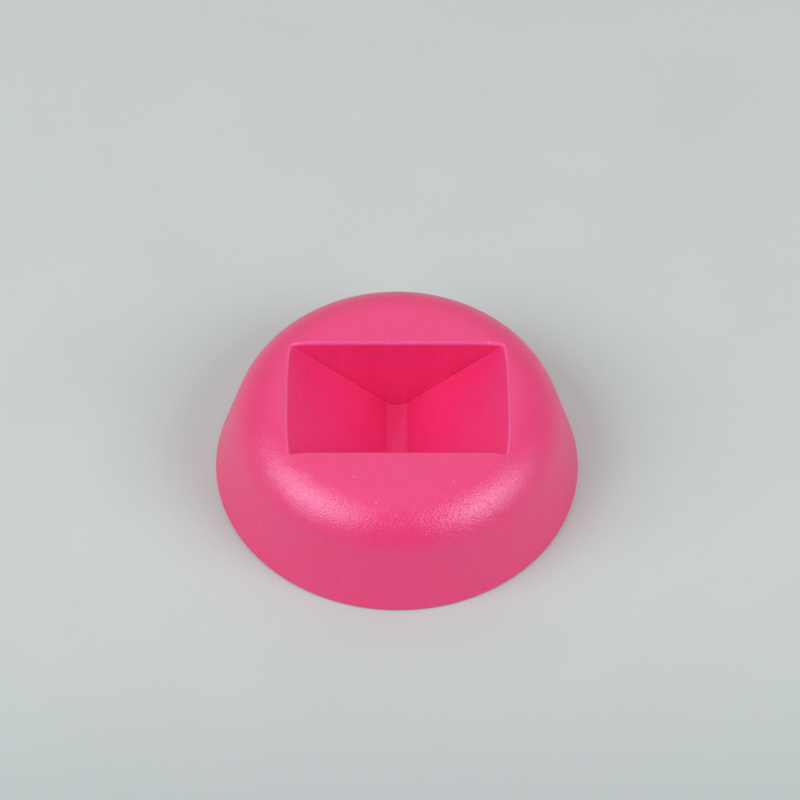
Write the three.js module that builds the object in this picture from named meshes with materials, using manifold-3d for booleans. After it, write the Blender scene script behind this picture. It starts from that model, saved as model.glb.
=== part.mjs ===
// A round casting mould, moulded in one piece: a low body with a flared skirt and a domed shoulder,
// and one roof-shaped pocket sunk into its flat top.
// Millimetres, +Z up. The origin is the centre of the flat base, and the pocket's valley runs along Y.

import * as THREE from 'three';
import { mergeVertices } from 'three/addons/utils/BufferGeometryUtils.js';
import Module from 'manifold-3d';

// Driving dimensions, in millimetres and degrees.
const BASE_RADIUS = 34;         // widest point, at the foot of the skirt
const HEIGHT = 20;
const TOP_RADIUS = 20.5;        // flat disc on top, inside the shoulder
const SHOULDER_RADIUS = 10.5;   // section radius of the shoulder, from the flat top into the skirt
const FOOT_RADIUS = 0.5;        // small rounding where the skirt meets the base
const POCKET_WIDTH = 25.3;      // between the two upright end walls, along Y
const SLOPE_ANGLE = 44;         // of the pocket's two sloping faces, from the horizontal
const VALLEY_RADIUS = 3.5;      // rounding between the two sloping faces
const VALLEY_TURN = 38;         // how far the rounding turns each way, short of the slope's own angle
const FLOOR_THICKNESS = 1.67;   // material left under the lowest line of the valley

// How finely the round shapes are faceted.
const ROUND_SEGMENTS = 128;
const SHOULDER_STEPS = 12;
const FOOT_STEPS = 4;
const VALLEY_STEPS = 8;

const QUARTER_TURN = Math.PI / 2;

const wasm = await Module();
wasm.setup();

// Points on an arc about (centreX, centreY), from one angle to another, in radians.
function arcPoints(centreX, centreY, radius, from, to, steps) {
  const points = [];
  for (let i = 0; i <= steps; i += 1) {
    const angle = from + (to - from) * i / steps;
    const x = centreX + radius * Math.cos(angle);
    const y = centreY + radius * Math.sin(angle);
    points.push(new THREE.Vector2(x, y));
  }
  return points;
}

// A closed three.js geometry as a manifold solid. Triangles that collapse on the axis are dropped.
function toSolid(geometry) {
  const bare = geometry.clone();
  bare.deleteAttribute('normal');
  bare.deleteAttribute('uv');
  const merged = mergeVertices(bare);
  const corners = merged.index.array;
  const kept = [];
  for (let i = 0; i < corners.length; i += 3) {
    const [a, b, c] = [corners[i], corners[i + 1], corners[i + 2]];
    if (a !== b && b !== c && c !== a) {
      kept.push(a, b, c);
    }
  }
  const vertProperties = new Float32Array(merged.attributes.position.array);
  const triVerts = new Uint32Array(kept);
  return new wasm.Manifold(new wasm.Mesh({ numProp: 3, vertProperties, triVerts }));
}

// A manifold solid as a three.js geometry.
function toGeometry(solid) {
  const mesh = solid.getMesh();
  const geometry = new THREE.BufferGeometry();
  geometry.setAttribute('position', new THREE.BufferAttribute(mesh.vertProperties, 3));
  geometry.setIndex(new THREE.BufferAttribute(mesh.triVerts, 1));
  geometry.computeVertexNormals();
  return geometry;
}

// The body without its pocket: one straight skirt line is tangent to both the foot's and the
// shoulder's arcs, and the whole profile is turned about the Z axis.
function bodyGeometry() {
  const foot = new THREE.Vector2(BASE_RADIUS - FOOT_RADIUS, FOOT_RADIUS);
  const shoulder = new THREE.Vector2(TOP_RADIUS, HEIGHT - SHOULDER_RADIUS);
  const between = shoulder.clone().sub(foot);
  const skirtNormal = Math.atan2(between.y, between.x)
    - Math.acos((FOOT_RADIUS - SHOULDER_RADIUS) / between.length());
  const profile = [
    new THREE.Vector2(0, 0),
    ...arcPoints(foot.x, foot.y, FOOT_RADIUS, -QUARTER_TURN, skirtNormal, FOOT_STEPS),
    ...arcPoints(shoulder.x, shoulder.y, SHOULDER_RADIUS, skirtNormal, QUARTER_TURN, SHOULDER_STEPS),
    new THREE.Vector2(0, HEIGHT),
  ];
  const geometry = new THREE.LatheGeometry(profile, ROUND_SEGMENTS);
  geometry.rotateX(QUARTER_TURN);
  return geometry;
}

// The space of the pocket: a V section with a rounded valley, drawn in the XZ plane and run along Y.
// The slopes go on above the top, so that they cut the domed shoulder cleanly at the ends.
function pocketGeometry() {
  const slope = THREE.MathUtils.degToRad(SLOPE_ANGLE);
  const turn = THREE.MathUtils.degToRad(VALLEY_TURN);
  const arcCentreZ = FLOOR_THICKNESS + VALLEY_RADIUS;
  const arcEndX = VALLEY_RADIUS * Math.sin(turn);
  const arcEndZ = arcCentreZ - VALLEY_RADIUS * Math.cos(turn);
  const cutTopZ = HEIGHT * 1.2;
  const halfLength = arcEndX + (cutTopZ - arcEndZ) / Math.tan(slope);
  const section = new THREE.Shape([
    new THREE.Vector2(-halfLength, cutTopZ),
    ...arcPoints(0, arcCentreZ, VALLEY_RADIUS, -QUARTER_TURN - turn, -QUARTER_TURN + turn, VALLEY_STEPS),
    new THREE.Vector2(halfLength, cutTopZ),
  ]);
  const geometry = new THREE.ExtrudeGeometry(section, { depth: POCKET_WIDTH, bevelEnabled: false });
  geometry.rotateX(QUARTER_TURN);
  geometry.translate(0, POCKET_WIDTH / 2, 0);
  return geometry;
}

function mouldBody() {
  const solid = toSolid(bodyGeometry()).subtract(toSolid(pocketGeometry()));
  const pinkSilicone = new THREE.MeshStandardMaterial({ color: 0xf22b79, roughness: 0.55, metalness: 0 });
  const mesh = new THREE.Mesh(toGeometry(solid), pinkSilicone);
  mesh.name = 'mould_body';
  return mesh;
}

const castingMould = new THREE.Group();
castingMould.add(mouldBody());

export default castingMould;
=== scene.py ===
# A round one-piece casting mould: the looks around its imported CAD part. Metres, +Z up.
import math
from collections import namedtuple

import bmesh
import bpy
from mathutils import Matrix, Vector


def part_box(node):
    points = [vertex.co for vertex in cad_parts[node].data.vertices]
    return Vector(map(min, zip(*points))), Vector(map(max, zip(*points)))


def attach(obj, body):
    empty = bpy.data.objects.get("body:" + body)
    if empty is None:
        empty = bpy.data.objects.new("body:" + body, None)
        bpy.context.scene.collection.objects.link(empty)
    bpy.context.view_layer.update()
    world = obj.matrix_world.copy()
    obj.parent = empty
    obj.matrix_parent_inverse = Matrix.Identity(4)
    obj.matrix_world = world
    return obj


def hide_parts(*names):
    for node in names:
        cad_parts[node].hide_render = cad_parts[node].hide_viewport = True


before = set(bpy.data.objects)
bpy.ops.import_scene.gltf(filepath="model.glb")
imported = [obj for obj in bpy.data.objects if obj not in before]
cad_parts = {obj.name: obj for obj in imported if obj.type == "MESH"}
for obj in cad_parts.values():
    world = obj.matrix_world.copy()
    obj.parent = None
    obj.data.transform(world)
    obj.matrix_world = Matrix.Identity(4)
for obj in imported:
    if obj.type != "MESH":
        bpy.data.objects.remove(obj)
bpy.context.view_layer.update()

MM = 0.001

# The body. Its radius and height are the CAD part's, and the other sizes repeat the CAD's own.
body_low, body_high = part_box("mould_body")
BASE_RADIUS = (body_high[0] - body_low[0]) / 2
HEIGHT = body_high[2] - body_low[2]
TOP_RADIUS = 20.5 * MM
SHOULDER_RADIUS = 10.5 * MM
FOOT_RADIUS = 0.5 * MM
POCKET_WIDTH = 25.3 * MM
SLOPE_ANGLE = math.radians(44)
VALLEY_RADIUS = 3.5 * MM
VALLEY_TURN = math.radians(38)
FLOOR_THICKNESS = 1.67 * MM

# Small roundings that the CAD part leaves out: of the pocket's rim, and of its inner corners.
RIM_RADIUS = 0.65 * MM
CORNER_RADIUS = 0.06 * MM

# How much each spot is an edge, from 1 on a rim made pale with wear and a painted highlight, through 0,
# to -1 in a crease darkened with painted shade.
# Spots beside a crease get a faint painted highlight, and the last number is the power with which the
# corners' painted crease shade fades out towards the rim.
RIM_WEAR_AND_HIGHLIGHT = 1
CREASE_SIDE_HIGHLIGHT = 0.3
CREASE_SHADE = -1
CREASE_SHADE_FADE = 8

# How finely each stretch of the surface is divided, over one quarter of the body.
# The end wall's rows are about WALL_ROW high, and vertices within WELD_DISTANCE become one.
# CLIMB_HALVINGS is how often the search for the top of the slope halves its range.
VALLEY_STEPS = 8
SLOPE_STEPS = 32
WIDTH_STEPS = 20
CORNER_STEPS = 4
RIM_STEPS = 5
DOME_STEPS = 34
SKIRT_STEPS = 12
FOOT_STEPS = 5
BASE_STEPS = 8
CLIMB_HALVINGS = 50
WALL_ROW = 1.2 * MM
WELD_DISTANCE = 0.0001 * MM

# The camera, level but for a slight roll. It looks from the -Y side, and its azimuth turns towards +X.
CAMERA_DISTANCE = 655.7 * MM
CAMERA_ELEVATION = math.radians(52.39)
CAMERA_AZIMUTH = math.radians(-0.736)
CAMERA_ROLL = math.radians(0.6)
CAMERA_AIM = Vector((0.65, 15.2, 0)) * MM
CAMERA_LENS = 156.8
CAMERA_SENSOR = 36

# The silicone's satin surface and its fine moulded grain.
SILICONE_ROUGHNESS = 0.3
SILICONE_ROUGHNESS_DRIFT = 0.02
SILICONE_IOR = 1.62
SILICONE_SPECULAR_LEVEL = 1
SILICONE_SPECULAR_TINT = (0.71, 0.79, 1, 1)
GRAIN_SIZE = 0.2 * MM
GRAIN_DEPTH = 0.065 * MM

# Its colour drifts slowly between two pinks, under a faint dark speckle; the deepest pink is also the
# painted shade in the pits.
PINK = (0.955, 0.0244, 0.169)
DRIFTED_PINK = (0.940, 0.0274, 0.181)
SPECKLE_AND_PIT_SHADE_PINK = (0.62, 0.01, 0.10)
MOTTLE_SIZE = 7 * MM
SPECKLE_SIZE = 0.35 * MM
SPECKLE_STRENGTH = 0.1

# Its edges, made pale with wear and a painted highlight, its creases, darkened with painted shade, and
# the upright streaks on the pocket's end walls.
WEAR_AND_HIGHLIGHT_PINK = (0.95, 0.075, 0.30)
WEAR_AND_HIGHLIGHT_STRENGTH = 0.9
CREASE_SHADE_PINK = (0.80, 0.008, 0.12)
CREASE_SHADE_STRENGTH = 0.5
STREAK_PINK = (0.97, 0.04, 0.24)
STREAK_STRENGTH = 0.4
STREAK_SIZE = 1 * MM
STREAK_LENGTH = 25 * MM

# Its few specks of dust, and its small pits, which are darkened with painted shade. Each lies around one
# point of a random lattice, and SHARE is how many of the points have one.
DUST_COLOUR = (0.90, 0.62, 0.68)
DUST_STRENGTH = 0.6
DUST_SPACING = 1 * MM
DUST_RADIUS = 0.14 * MM
DUST_SHARE = 0.03
PIT_SPACING = 1.3 * MM
PIT_RADIUS = 0.17 * MM
PIT_SHARE = 0.02

# The floor's paper. Painted shade darkens it from FRONT_START to FRONT_END, towards the camera.
FLOOR_HALF_WIDTH = 3
PAPER_ROUGHNESS = 0.9
PAPER = (0.602, 0.636, 0.611)
CLOUDED_PAPER = (0.620, 0.654, 0.629)
FRONT_SHADE_PAPER = (0.500, 0.532, 0.516)
TOOTH_GREY = (0.40, 0.44, 0.43)
TOOTH_STRENGTH = 0.16
TOOTH_SIZE = 0.45 * MM
TOOTH_DEPTH = 0.02 * MM
CLOUD_SIZE = 25 * MM
FRONT_START = -15 * MM
FRONT_END = -80 * MM

# The light: slightly blue softboxes, and a white room that is darker on the camera's side.
SOFTBOX_COLOUR = (0.97, 1, 1.05)
ROOM_COLOUR = (1, 1, 1, 1)
ROOM_FRONT_STRENGTH = 0.24
ROOM_BACK_STRENGTH = 0.38

QUARTER_TURN = math.pi / 2


# A point of the surface, its outward normal, and how much it is an edge, which sets the wear, painted
# highlight and painted shade on it.
Spot = namedtuple("Spot", "point normal edge", defaults=(0,))


# ---- The outer surface: a flat top, a shoulder arc, a straight skirt and a small foot arc.
# It is drawn as a profile of (radius, height) points, and turned about Z.

SHOULDER_CENTRE = Vector((TOP_RADIUS, HEIGHT - SHOULDER_RADIUS))
FOOT_CENTRE = Vector((BASE_RADIUS - FOOT_RADIUS, FOOT_RADIUS))


def skirt_lean():
    """Angle above the horizontal of the normal of the one line tangent to both arcs."""
    between = SHOULDER_CENTRE - FOOT_CENTRE
    to_normal = math.acos((FOOT_RADIUS - SHOULDER_RADIUS) / between.length)
    return math.atan2(between.y, between.x) - to_normal


SKIRT_LEAN = skirt_lean()
SHOULDER_TURN = QUARTER_TURN - SKIRT_LEAN


def arc_point(centre, radius, angle):
    """A point of the profile and its outward normal, at an angle above the horizontal."""
    normal = Vector((math.cos(angle), math.sin(angle)))
    return centre + radius * normal, normal


def dome_point(path):
    """The profile at a distance along it from the top's centre, over the flat top and the shoulder."""
    if path < TOP_RADIUS:
        return Vector((path, HEIGHT)), Vector((0, 1))
    angle = QUARTER_TURN - (path - TOP_RADIUS) / SHOULDER_RADIUS
    return arc_point(SHOULDER_CENTRE, SHOULDER_RADIUS, angle)


def dome_path(radius):
    """The distance along the profile at which it reaches a radius, on the flat top or the shoulder."""
    beyond = max(radius - TOP_RADIUS, 0) / SHOULDER_RADIUS
    return min(radius, TOP_RADIUS) + SHOULDER_RADIUS * math.asin(beyond)


def lower_profile():
    """The skirt, the foot and the base, from the shoulder's end to the axis."""
    top, normal = arc_point(SHOULDER_CENTRE, SHOULDER_RADIUS, SKIRT_LEAN)
    bottom, _ = arc_point(FOOT_CENTRE, FOOT_RADIUS, SKIRT_LEAN)
    points = []
    for step in range(1, SKIRT_STEPS + 1):
        points.append((top.lerp(bottom, step / SKIRT_STEPS), normal))
    for step in range(1, FOOT_STEPS + 1):
        angle = SKIRT_LEAN - (SKIRT_LEAN + QUARTER_TURN) * step / FOOT_STEPS
        points.append(arc_point(FOOT_CENTRE, FOOT_RADIUS, angle))
    rim = points[-1][0]
    for step in range(1, BASE_STEPS + 1):
        points.append((rim.lerp(Vector((0, 0)), step / BASE_STEPS), Vector((0, -1))))
    return points


# ---- The pocket: two slopes that meet in a rounded valley along Y, between two upright end walls.
# One quarter of it, with X and Y positive, is described, and its normals point into the pocket.
# A faint crease runs along each slope's foot, where the valley's arc stops short of the slope's angle.

SLOPE_NORMAL = Vector((-math.sin(SLOPE_ANGLE), 0, math.cos(SLOPE_ANGLE)))
UP_SLOPE = Vector((math.cos(SLOPE_ANGLE), 0, math.sin(SLOPE_ANGLE)))
WALL_NORMAL = Vector((0, -1, 0))
VALLEY_CENTRE = Vector((0, 0, FLOOR_THICKNESS + VALLEY_RADIUS))
VALLEY_END = Vector((math.sin(VALLEY_TURN), 0, -math.cos(VALLEY_TURN)))
SLOPE_FOOT = VALLEY_CENTRE + VALLEY_RADIUS * VALLEY_END
CORNER_Y = POCKET_WIDTH / 2 - CORNER_RADIUS
WALL_Y = POCKET_WIDTH / 2


class RimBall:
    """A ball in the material that touches the pocket's side and the top, and so rounds the rim."""

    def __init__(self, centre, side_normal):
        reach = math.hypot(centre.x, centre.y)
        beyond = max(reach - TOP_RADIUS, 0) / (SHOULDER_RADIUS - RIM_RADIUS)
        up = math.sqrt(1 - beyond ** 2)
        self.centre = centre
        self.side_normal = side_normal
        self.top_normal = Vector((beyond * centre.x / reach, beyond * centre.y / reach, up))

    def arc(self):
        """The rounding, from the pocket's side to the top."""
        turn = self.side_normal.rotation_difference(self.top_normal)
        steps = []
        for step in range(RIM_STEPS + 1):
            part = turn.copy()
            part.angle = turn.angle * step / RIM_STEPS
            normal = part @ self.side_normal
            # Along the rounding the rim is painted pale, for wear and a painted highlight.
            edge = RIM_WEAR_AND_HIGHLIGHT * math.sin(math.pi * step / RIM_STEPS)
            steps.append(Spot(self.centre + RIM_RADIUS * normal, normal, edge))
        return steps


def ball_height(x, y):
    """Height at which a ball of the rim's radius touches the flat top or the shoulder from inside."""
    beyond = max(math.hypot(x, y) - TOP_RADIUS, 0)
    return SHOULDER_CENTRE.y + math.sqrt((SHOULDER_RADIUS - RIM_RADIUS) ** 2 - beyond ** 2)


def climb(start):
    """How far a ball climbs along the slope from its start until it touches the top from inside."""
    low, high = 0, (HEIGHT - RIM_RADIUS - start.z) / UP_SLOPE.z
    for _ in range(CLIMB_HALVINGS):
        middle = (low + high) / 2
        ball = start + middle * UP_SLOPE
        if ball.z < ball_height(ball.x, ball.y):
            low = middle
        else:
            high = middle
    return low


def corner_normal(step, side_normal):
    """Normal within the corner's rounding, from the slope or valley at step 0 to the end wall."""
    angle = QUARTER_TURN * step / CORNER_STEPS
    return math.cos(angle) * side_normal + math.sin(angle) * WALL_NORMAL


def crease_shade_and_highlight(share, step):
    """Edge value in the corner's rounding, at a share of the way up: a faint painted highlight where it
    meets the slope, and painted shade elsewhere, faded out at the rim.
    """
    if step == 0:
        return CREASE_SIDE_HIGHLIGHT
    return CREASE_SHADE * (1 - share ** CREASE_SHADE_FADE)


def slope_shares():
    """Fractions of the way up the slope that look evenly spaced from the Z axis, along the end wall."""
    top_x = SLOPE_FOOT.x + climb(SLOPE_FOOT + Vector((0, WALL_Y, 0))) * UP_SLOPE.x
    near, far = math.atan2(SLOPE_FOOT.x, WALL_Y), math.atan2(top_x, WALL_Y)
    shares = []
    for step in range(1, SLOPE_STEPS + 1):
        x = WALL_Y * math.tan(near + (far - near) * step / SLOPE_STEPS)
        shares.append((x - SLOPE_FOOT.x) / (top_x - SLOPE_FOOT.x))
    return shares


def valley_normals():
    """The valley's normals, from its lowest line to the slope's foot."""
    angles = [VALLEY_TURN * step / VALLEY_STEPS for step in range(VALLEY_STEPS + 1)]
    return [Vector((-math.sin(angle), 0, math.cos(angle))) for angle in angles]


def sheet_grid(shares):
    """The valley and the slope, line by line from the XZ plane to the corner, and their rim's balls."""
    sheet = []
    balls = []
    for step in range(WIDTH_STEPS + 1):
        across = Vector((0, CORNER_Y * step / WIDTH_STEPS, 0))
        start = SLOPE_FOOT + across - RIM_RADIUS * SLOPE_NORMAL
        length = climb(start)
        # The line beside the corner gets a faint painted highlight.
        edge = CREASE_SIDE_HIGHLIGHT if step == WIDTH_STEPS else 0
        line = []
        for normal in valley_normals():
            line.append(Spot(VALLEY_CENTRE + across - VALLEY_RADIUS * normal, normal, edge))
        # The slope's foot gets painted shade in its crease.
        line[-1] = line[-1]._replace(edge=CREASE_SHADE)
        for share in shares:
            point = SLOPE_FOOT + across + share * length * UP_SLOPE
            line.append(Spot(point, SLOPE_NORMAL, edge))
        sheet.append(line)
        balls.append(RimBall(start + length * UP_SLOPE, SLOPE_NORMAL))
    return sheet, balls


def corner_grid(shares):
    """The rounding between the sheet and the end wall, and its rim's balls."""
    corner = []
    balls = []
    corner_y = Vector((0, CORNER_Y, 0))
    for step in range(CORNER_STEPS + 1):
        axis = SLOPE_FOOT + corner_y + CORNER_RADIUS * SLOPE_NORMAL
        normal = corner_normal(step, SLOPE_NORMAL)
        start = axis - (CORNER_RADIUS + RIM_RADIUS) * normal
        length = climb(start)
        line = []
        for valley_normal in valley_normals():
            centre = VALLEY_CENTRE + corner_y - (VALLEY_RADIUS - CORNER_RADIUS) * valley_normal
            turned = corner_normal(step, valley_normal)
            line.append(Spot(centre - CORNER_RADIUS * turned, turned, crease_shade_and_highlight(0, step)))
        for share in shares:
            point = axis + share * length * UP_SLOPE - CORNER_RADIUS * normal
            line.append(Spot(point, normal, crease_shade_and_highlight(share, step)))
        corner.append(line)
        if step > 0:
            balls.append(RimBall(start + length * UP_SLOPE, normal))
    return corner, balls


def wall_grid(feet):
    """The end wall in upright columns, one over each foot, and its rim's balls."""
    columns = []
    balls = []
    for foot, _, edge in feet[:-1]:
        ball = Vector((foot.x, WALL_Y + RIM_RADIUS, ball_height(foot.x, WALL_Y + RIM_RADIUS)))
        top = Vector((foot.x, WALL_Y, ball.z))
        rows = max(1, round((top.z - foot.z) / WALL_ROW))
        column = [Spot(foot, WALL_NORMAL, edge)]
        for row in range(1, rows + 1):
            column.append(Spot(foot.lerp(top, row / rows), WALL_NORMAL))
        columns.append(column)
        balls.append(RimBall(ball, WALL_NORMAL))
    columns.append([feet[-1]])
    return columns, balls


def pocket_grids():
    """Grids of spots over the pocket's quarter, and the balls that round its rim, in order."""
    shares = slope_shares()
    sheet, sheet_balls = sheet_grid(shares)
    corner, corner_balls = corner_grid(shares)
    columns, wall_balls = wall_grid(corner[-1])
    balls = sheet_balls + corner_balls + wall_balls[::-1]
    return sheet, corner, columns, balls


def outer_line(ball, lower):
    """Spots from the pocket's rim, over its rounding, out and down to the base's centre."""
    line = ball.arc()
    rim = line[-1].point
    azimuth = math.atan2(rim.y, rim.x)
    near = dome_path(math.hypot(rim.x, rim.y))
    far = TOP_RADIUS + SHOULDER_RADIUS * SHOULDER_TURN
    profile = []
    for step in range(1, DOME_STEPS + 1):
        profile.append(dome_point(near + (far - near) * step / DOME_STEPS))
    for place, normal in profile + lower:
        point = Vector((place.x * math.cos(azimuth), place.x * math.sin(azimuth), place.y))
        facing = Vector((normal.x * math.cos(azimuth), normal.x * math.sin(azimuth), normal.y))
        line.append(Spot(point, facing))
    return line


# ---- From grids to one closed mesh.

def stitch(first, second):
    """Faces between two lines of vertices, matched from their last ends, with a fan for the rest."""
    short, long = sorted((first, second), key=len)
    extra = len(long) - len(short)
    faces = [(short[0], long[i], long[i + 1]) for i in range(extra)]
    for i in range(len(short) - 1):
        faces.append((short[i], long[i + extra], long[i + extra + 1], short[i + 1]))
    return faces


def add_patch(mesh, normals, edges, lines, mirror):
    """Adds one patch, mirrored, as faces that look the way their normals do."""
    rows = []
    for line in lines:
        row = []
        for spot in line:
            vertex = mesh.verts.new(spot.point * mirror)
            vertex[normals] = spot.normal * mirror
            vertex[edges] = spot.edge
            row.append(vertex)
        rows.append(row)
    for first, second in zip(rows, rows[1:]):
        for corners in stitch(first, second):
            face = mesh.faces.new(corners)
            face.normal_update()
            if face.normal.dot(corners[0][normals]) < 0:
                face.normal_flip()


def mould_mesh():
    """The whole body: the described quarter, mirrored about both upright planes and welded."""
    sheet, corner, columns, balls = pocket_grids()
    lower = lower_profile()
    outer = [outer_line(ball, lower) for ball in balls]
    built = bmesh.new()
    facing = built.verts.layers.float_vector.new("surface_normal")
    edges = built.verts.layers.float.new("edge")
    for x_side in (1, -1):
        for y_side in (1, -1):
            for lines in (sheet, corner, columns, outer):
                add_patch(built, facing, edges, lines, Vector((x_side, y_side, 1)))
    bmesh.ops.remove_doubles(built, verts=built.verts, dist=WELD_DISTANCE)
    normals = [vertex[facing].copy() for vertex in built.verts]
    built.verts.layers.float_vector.remove(facing)
    mesh = bpy.data.meshes.new("mould_body_surface")
    built.to_mesh(mesh)
    built.free()
    mesh.shade_smooth()
    mesh.normals_split_custom_set_from_vertices(normals)
    return mesh


# ---- Materials.

def new_material(name, roughness):
    """A material with its node tree, its shader and the object's own coordinates."""
    material = bpy.data.materials.new(name)
    material.use_nodes = True
    tree = material.node_tree
    shader = tree.nodes["Principled BSDF"]
    shader.inputs["Roughness"].default_value = roughness
    place = tree.nodes.new("ShaderNodeTexCoord").outputs["Object"]
    return material, tree, shader, place


def noise(tree, place, size, detail):
    """Noise with lumps of about the given size, from 0 to 1 and mostly near 0.5."""
    node = tree.nodes.new("ShaderNodeTexNoise")
    node.inputs["Scale"].default_value = 1 / size
    node.inputs["Detail"].default_value = detail
    tree.links.new(place, node.inputs["Vector"])
    return node.outputs["Fac"]


def spread(tree, value, low, high, start, end):
    """Stretches a value so that low becomes start and high becomes end, with no overshoot."""
    node = tree.nodes.new("ShaderNodeMapRange")
    for name, amount in (("From Min", low), ("From Max", high), ("To Min", start), ("To Max", end)):
        node.inputs[name].default_value = amount
    tree.links.new(value, node.inputs["Value"])
    return node.outputs["Result"]


def stretch_noise(tree, value, start, end):
    """Stretches noise, which mostly lies between 0.3 and 0.7, to run from start to end."""
    return spread(tree, value, 0.3, 0.7, start, end)


def maths(tree, operation, *values):
    """One step of arithmetic; each value is a number or another node's output."""
    node = tree.nodes.new("ShaderNodeMath")
    node.operation = operation
    for socket, value in zip(node.inputs, values):
        if isinstance(value, (int, float)):
            socket.default_value = value
        else:
            tree.links.new(value, socket)
    return node.outputs["Value"]


def blend(tree, amount, under, over):
    """A colour that goes from one to the other; each is an (R, G, B) or another node's colour."""
    node = tree.nodes.new("ShaderNodeMix")
    node.data_type = "RGBA"
    tree.links.new(amount, node.inputs["Factor"])
    for name, colour in (("A", under), ("B", over)):
        sockets = [each for each in node.inputs if each.name == name]
        socket = next(each for each in sockets if each.type == "RGBA")
        if isinstance(colour, tuple):
            socket.default_value = (*colour, 1)
        else:
            tree.links.new(colour, socket)
    return next(each for each in node.outputs if each.type == "RGBA")


def specks(tree, place, spacing, radius, share):
    """Round specks, 1 inside and 0 outside, around a share of the points of a random lattice.

    Each one fades out over the outer third of its radius.
    """
    cells = tree.nodes.new("ShaderNodeTexVoronoi")
    cells.inputs["Scale"].default_value = 1 / spacing
    tree.links.new(place, cells.inputs["Vector"])
    chance = tree.nodes.new("ShaderNodeSeparateColor")
    tree.links.new(cells.outputs["Color"], chance.inputs["Color"])
    chosen = maths(tree, "LESS_THAN", chance.outputs["Red"], share)
    near = spread(tree, cells.outputs["Distance"], 0.7 * radius / spacing, radius / spacing, 1, 0)
    return maths(tree, "MULTIPLY", near, chosen)


def emboss(tree, shader, height, depth):
    """Bumps the shader's surface: a height of 1 stands for the depth."""
    bump = tree.nodes.new("ShaderNodeBump")
    bump.inputs["Distance"].default_value = depth
    bump.inputs["Strength"].default_value = 1
    tree.links.new(height, bump.inputs["Height"])
    tree.links.new(bump.outputs["Normal"], shader.inputs["Normal"])


def end_wall_streaks(tree, place):
    """Upright streaks, 0 to 1, on the faces that look along Y, which are the pocket's end walls.

    They fade out between 8 and 16 degrees away from Y.
    """
    drawn = tree.nodes.new("ShaderNodeVectorMath")
    drawn.operation = "MULTIPLY"
    drawn.inputs[1].default_value = (1, 1, STREAK_SIZE / STREAK_LENGTH)
    tree.links.new(place, drawn.inputs[0])
    streaks = noise(tree, drawn.outputs["Vector"], STREAK_SIZE, 1)
    streaks = spread(tree, streaks, 0.4, 0.75, 0, 1)

    normal = tree.nodes.new("ShaderNodeTexCoord").outputs["Normal"]
    facing = tree.nodes.new("ShaderNodeSeparateXYZ")
    tree.links.new(normal, facing.inputs["Vector"])
    along_y = maths(tree, "ABSOLUTE", facing.outputs["Y"])
    on_wall = spread(tree, along_y, 0.96, 0.99, 0, 1)
    return maths(tree, "MULTIPLY", streaks, on_wall)


def silicone_colour(tree, place, grain, mottle, pits):
    """Pink with a slow drift and a speckle, edges made pale with wear and a painted highlight, creases
    darkened with painted shade, streaks, pits darkened with painted shade, and dust.

    The hollows of the grain get less of the edges' pale paint of wear and highlight than its tops.
    """
    pink = blend(tree, stretch_noise(tree, mottle, 0, 1), PINK, DRIFTED_PINK)
    speckle = stretch_noise(tree, noise(tree, place, SPECKLE_SIZE, 1), 0, SPECKLE_STRENGTH)
    pink = blend(tree, speckle, pink, SPECKLE_AND_PIT_SHADE_PINK)

    attribute = tree.nodes.new("ShaderNodeAttribute")
    attribute.attribute_name = "edge"
    edge = attribute.outputs["Fac"]
    # Pale paint on the edges: wear and a painted highlight on the rims, and a faint painted highlight
    # beside the creases.
    wear_and_highlight = spread(tree, edge, 0, RIM_WEAR_AND_HIGHLIGHT, 0, WEAR_AND_HIGHLIGHT_STRENGTH)
    wear_and_highlight = maths(tree, "MULTIPLY", wear_and_highlight, spread(tree, grain, 0.2, 0.6, 0.6, 1))
    pink = blend(tree, wear_and_highlight, pink, WEAR_AND_HIGHLIGHT_PINK)
    # Painted shade that darkens the creases.
    crease_shade = spread(tree, edge, CREASE_SHADE, 0, CREASE_SHADE_STRENGTH, 0)
    pink = blend(tree, crease_shade, pink, CREASE_SHADE_PINK)

    streaks = maths(tree, "MULTIPLY", end_wall_streaks(tree, place), STREAK_STRENGTH)
    pink = blend(tree, streaks, pink, STREAK_PINK)
    # Painted shade that darkens the pits.
    pink = blend(tree, pits, pink, SPECKLE_AND_PIT_SHADE_PINK)
    dust = specks(tree, place, DUST_SPACING, DUST_RADIUS, DUST_SHARE)
    return blend(tree, maths(tree, "MULTIPLY", dust, DUST_STRENGTH), pink, DUST_COLOUR)


def silicone():
    """Satin pink silicone with a fine grain, and small pits darkened with painted shade."""
    material, tree, shader, place = new_material("pink_silicone", SILICONE_ROUGHNESS)
    shader.inputs["IOR"].default_value = SILICONE_IOR
    shader.inputs["Specular IOR Level"].default_value = SILICONE_SPECULAR_LEVEL
    shader.inputs["Specular Tint"].default_value = SILICONE_SPECULAR_TINT

    grain = noise(tree, place, GRAIN_SIZE, 0)
    mottle = noise(tree, place, MOTTLE_SIZE, 2)
    pits = specks(tree, place, PIT_SPACING, PIT_RADIUS, PIT_SHARE)
    pink = silicone_colour(tree, place, grain, mottle, pits)
    tree.links.new(pink, shader.inputs["Base Color"])

    smoothest = SILICONE_ROUGHNESS - SILICONE_ROUGHNESS_DRIFT
    roughest = SILICONE_ROUGHNESS + SILICONE_ROUGHNESS_DRIFT
    roughness = stretch_noise(tree, mottle, smoothest, roughest)
    tree.links.new(roughness, shader.inputs["Roughness"])
    emboss(tree, shader, maths(tree, "SUBTRACT", grain, pits), GRAIN_DEPTH)
    return material


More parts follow.
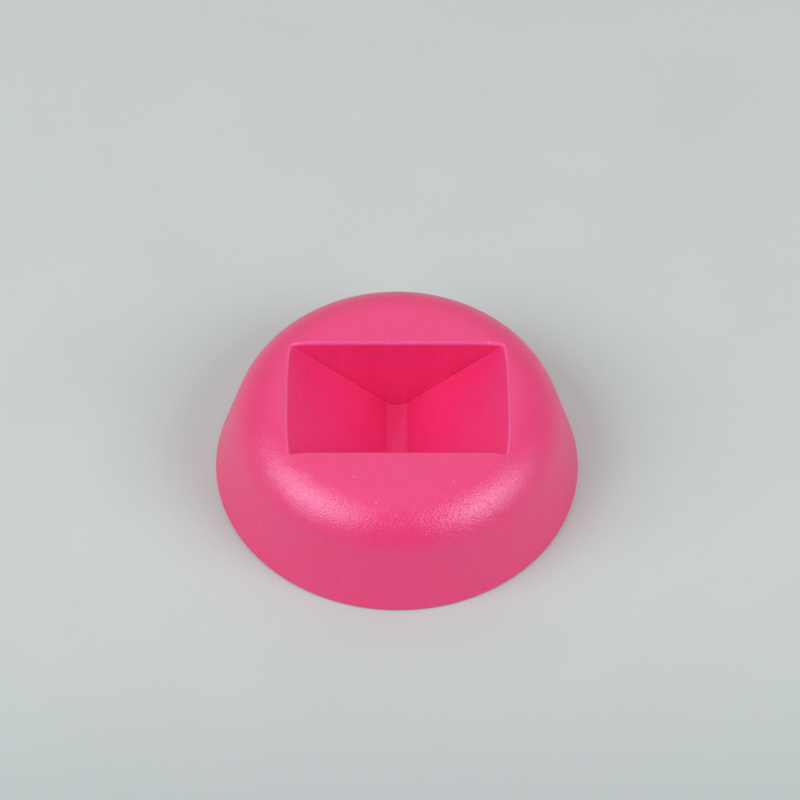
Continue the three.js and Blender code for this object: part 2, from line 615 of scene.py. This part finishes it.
def paper():
    """Matt pale paper with a fine tooth and a slight cloudiness, and painted shade that makes it a
    little darker in front.
    """
    material, tree, shader, place = new_material("floor_paper", PAPER_ROUGHNESS)
    clouds = stretch_noise(tree, noise(tree, place, CLOUD_SIZE, 3), 0, 1)
    shade = blend(tree, clouds, PAPER, CLOUDED_PAPER)
    tooth = noise(tree, place, TOOTH_SIZE, 2)
    shade = blend(tree, stretch_noise(tree, tooth, 0, TOOTH_STRENGTH), shade, TOOTH_GREY)

    # Painted shade, darker towards the front.
    along = tree.nodes.new("ShaderNodeSeparateXYZ")
    tree.links.new(place, along.inputs["Vector"])
    front_shade = spread(tree, along.outputs["Y"], FRONT_START, FRONT_END, 0, 1)
    shade = blend(tree, maths(tree, "POWER", front_shade, 2), shade, FRONT_SHADE_PAPER)
    tree.links.new(shade, shader.inputs["Base Color"])
    emboss(tree, shader, tooth, TOOTH_DEPTH)
    return material


# ---- The scene.

def build_mould():
    """The finished surface, which rides on the part's body and stands for its CAD node."""
    mould = bpy.data.objects.new("mould_body_surface", mould_mesh())
    bpy.context.collection.objects.link(mould)
    mould.data.materials.append(silicone())
    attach(mould, "root")
    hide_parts("mould_body")


def build_floor():
    """A wide sheet of paper under the mould."""
    mesh = bpy.data.meshes.new("floor")
    half = FLOOR_HALF_WIDTH
    corners = [(-half, -half, 0), (half, -half, 0), (half, half, 0), (-half, half, 0)]
    mesh.from_pydata(corners, [], [(0, 1, 2, 3)])
    floor = bpy.data.objects.new("floor", mesh)
    bpy.context.collection.objects.link(floor)
    mesh.materials.append(paper())


def direction(azimuth, elevation):
    """From the mould towards a place in the room, in radians from the camera's side, -Y, to +X."""
    level = math.cos(elevation)
    return Vector((math.sin(azimuth) * level, -math.cos(azimuth) * level, math.sin(elevation)))


def build_camera():
    """A long lens, aimed a little behind the mould's centre."""
    data = bpy.data.cameras.new("camera")
    data.lens = CAMERA_LENS
    data.sensor_width = CAMERA_SENSOR
    camera = bpy.data.objects.new("camera", data)
    bpy.context.collection.objects.link(camera)
    camera.location = CAMERA_DISTANCE * direction(CAMERA_AZIMUTH, CAMERA_ELEVATION)
    aim = (CAMERA_AIM - camera.location).to_track_quat("-Z", "Y")
    roll = Matrix.Rotation(CAMERA_ROLL, 4, "Z").to_quaternion()
    camera.rotation_mode = "QUATERNION"
    camera.rotation_quaternion = aim @ roll
    bpy.context.scene.camera = camera


def add_softbox(name, azimuth, elevation, distance, size, power):
    """A rectangular softbox that faces the mould, in degrees, metres and watts."""
    data = bpy.data.lights.new(name, "AREA")
    data.shape = "RECTANGLE"
    data.size, data.size_y = size
    data.energy = power
    data.color = SOFTBOX_COLOUR
    softbox = bpy.data.objects.new(name, data)
    bpy.context.collection.objects.link(softbox)
    away = direction(math.radians(azimuth), math.radians(elevation))
    softbox.location = distance * away
    softbox.rotation_mode = "QUATERNION"
    softbox.rotation_quaternion = (-away).to_track_quat("-Z", "Y")


def build_lights():
    """Two large softboxes in front, left and right, and two weak ones behind and overhead."""
    add_softbox("left_softbox", azimuth=-66, elevation=41, distance=1.0, size=(0.76, 0.68), power=5.9)
    add_softbox("right_softbox", azimuth=62, elevation=36, distance=1.0, size=(0.65, 0.60), power=4.6)
    add_softbox("back_softbox", azimuth=180, elevation=40, distance=0.5, size=(0.5, 0.3), power=0.16)
    add_softbox("overhead_softbox", azimuth=180, elevation=80, distance=1.2, size=(1.0, 1.0), power=1.25)


def build_room():
    """A white room around it all, darker on the camera's side."""
    world = bpy.data.worlds.new("studio")
    world.use_nodes = True
    tree = world.node_tree
    ray = tree.nodes.new("ShaderNodeTexCoord")
    split = tree.nodes.new("ShaderNodeSeparateXYZ")
    tree.links.new(ray.outputs["Generated"], split.inputs["Vector"])
    glow = spread(tree, split.outputs["Y"], -0.5, 0.5, ROOM_FRONT_STRENGTH, ROOM_BACK_STRENGTH)
    background = tree.nodes["Background"]
    tree.links.new(glow, background.inputs["Strength"])
    background.inputs["Color"].default_value = ROOM_COLOUR
    bpy.context.scene.world = world


build_mould()
build_floor()
build_camera()
build_lights()
build_room()
bpy.context.scene.view_settings.view_transform = "Standard"
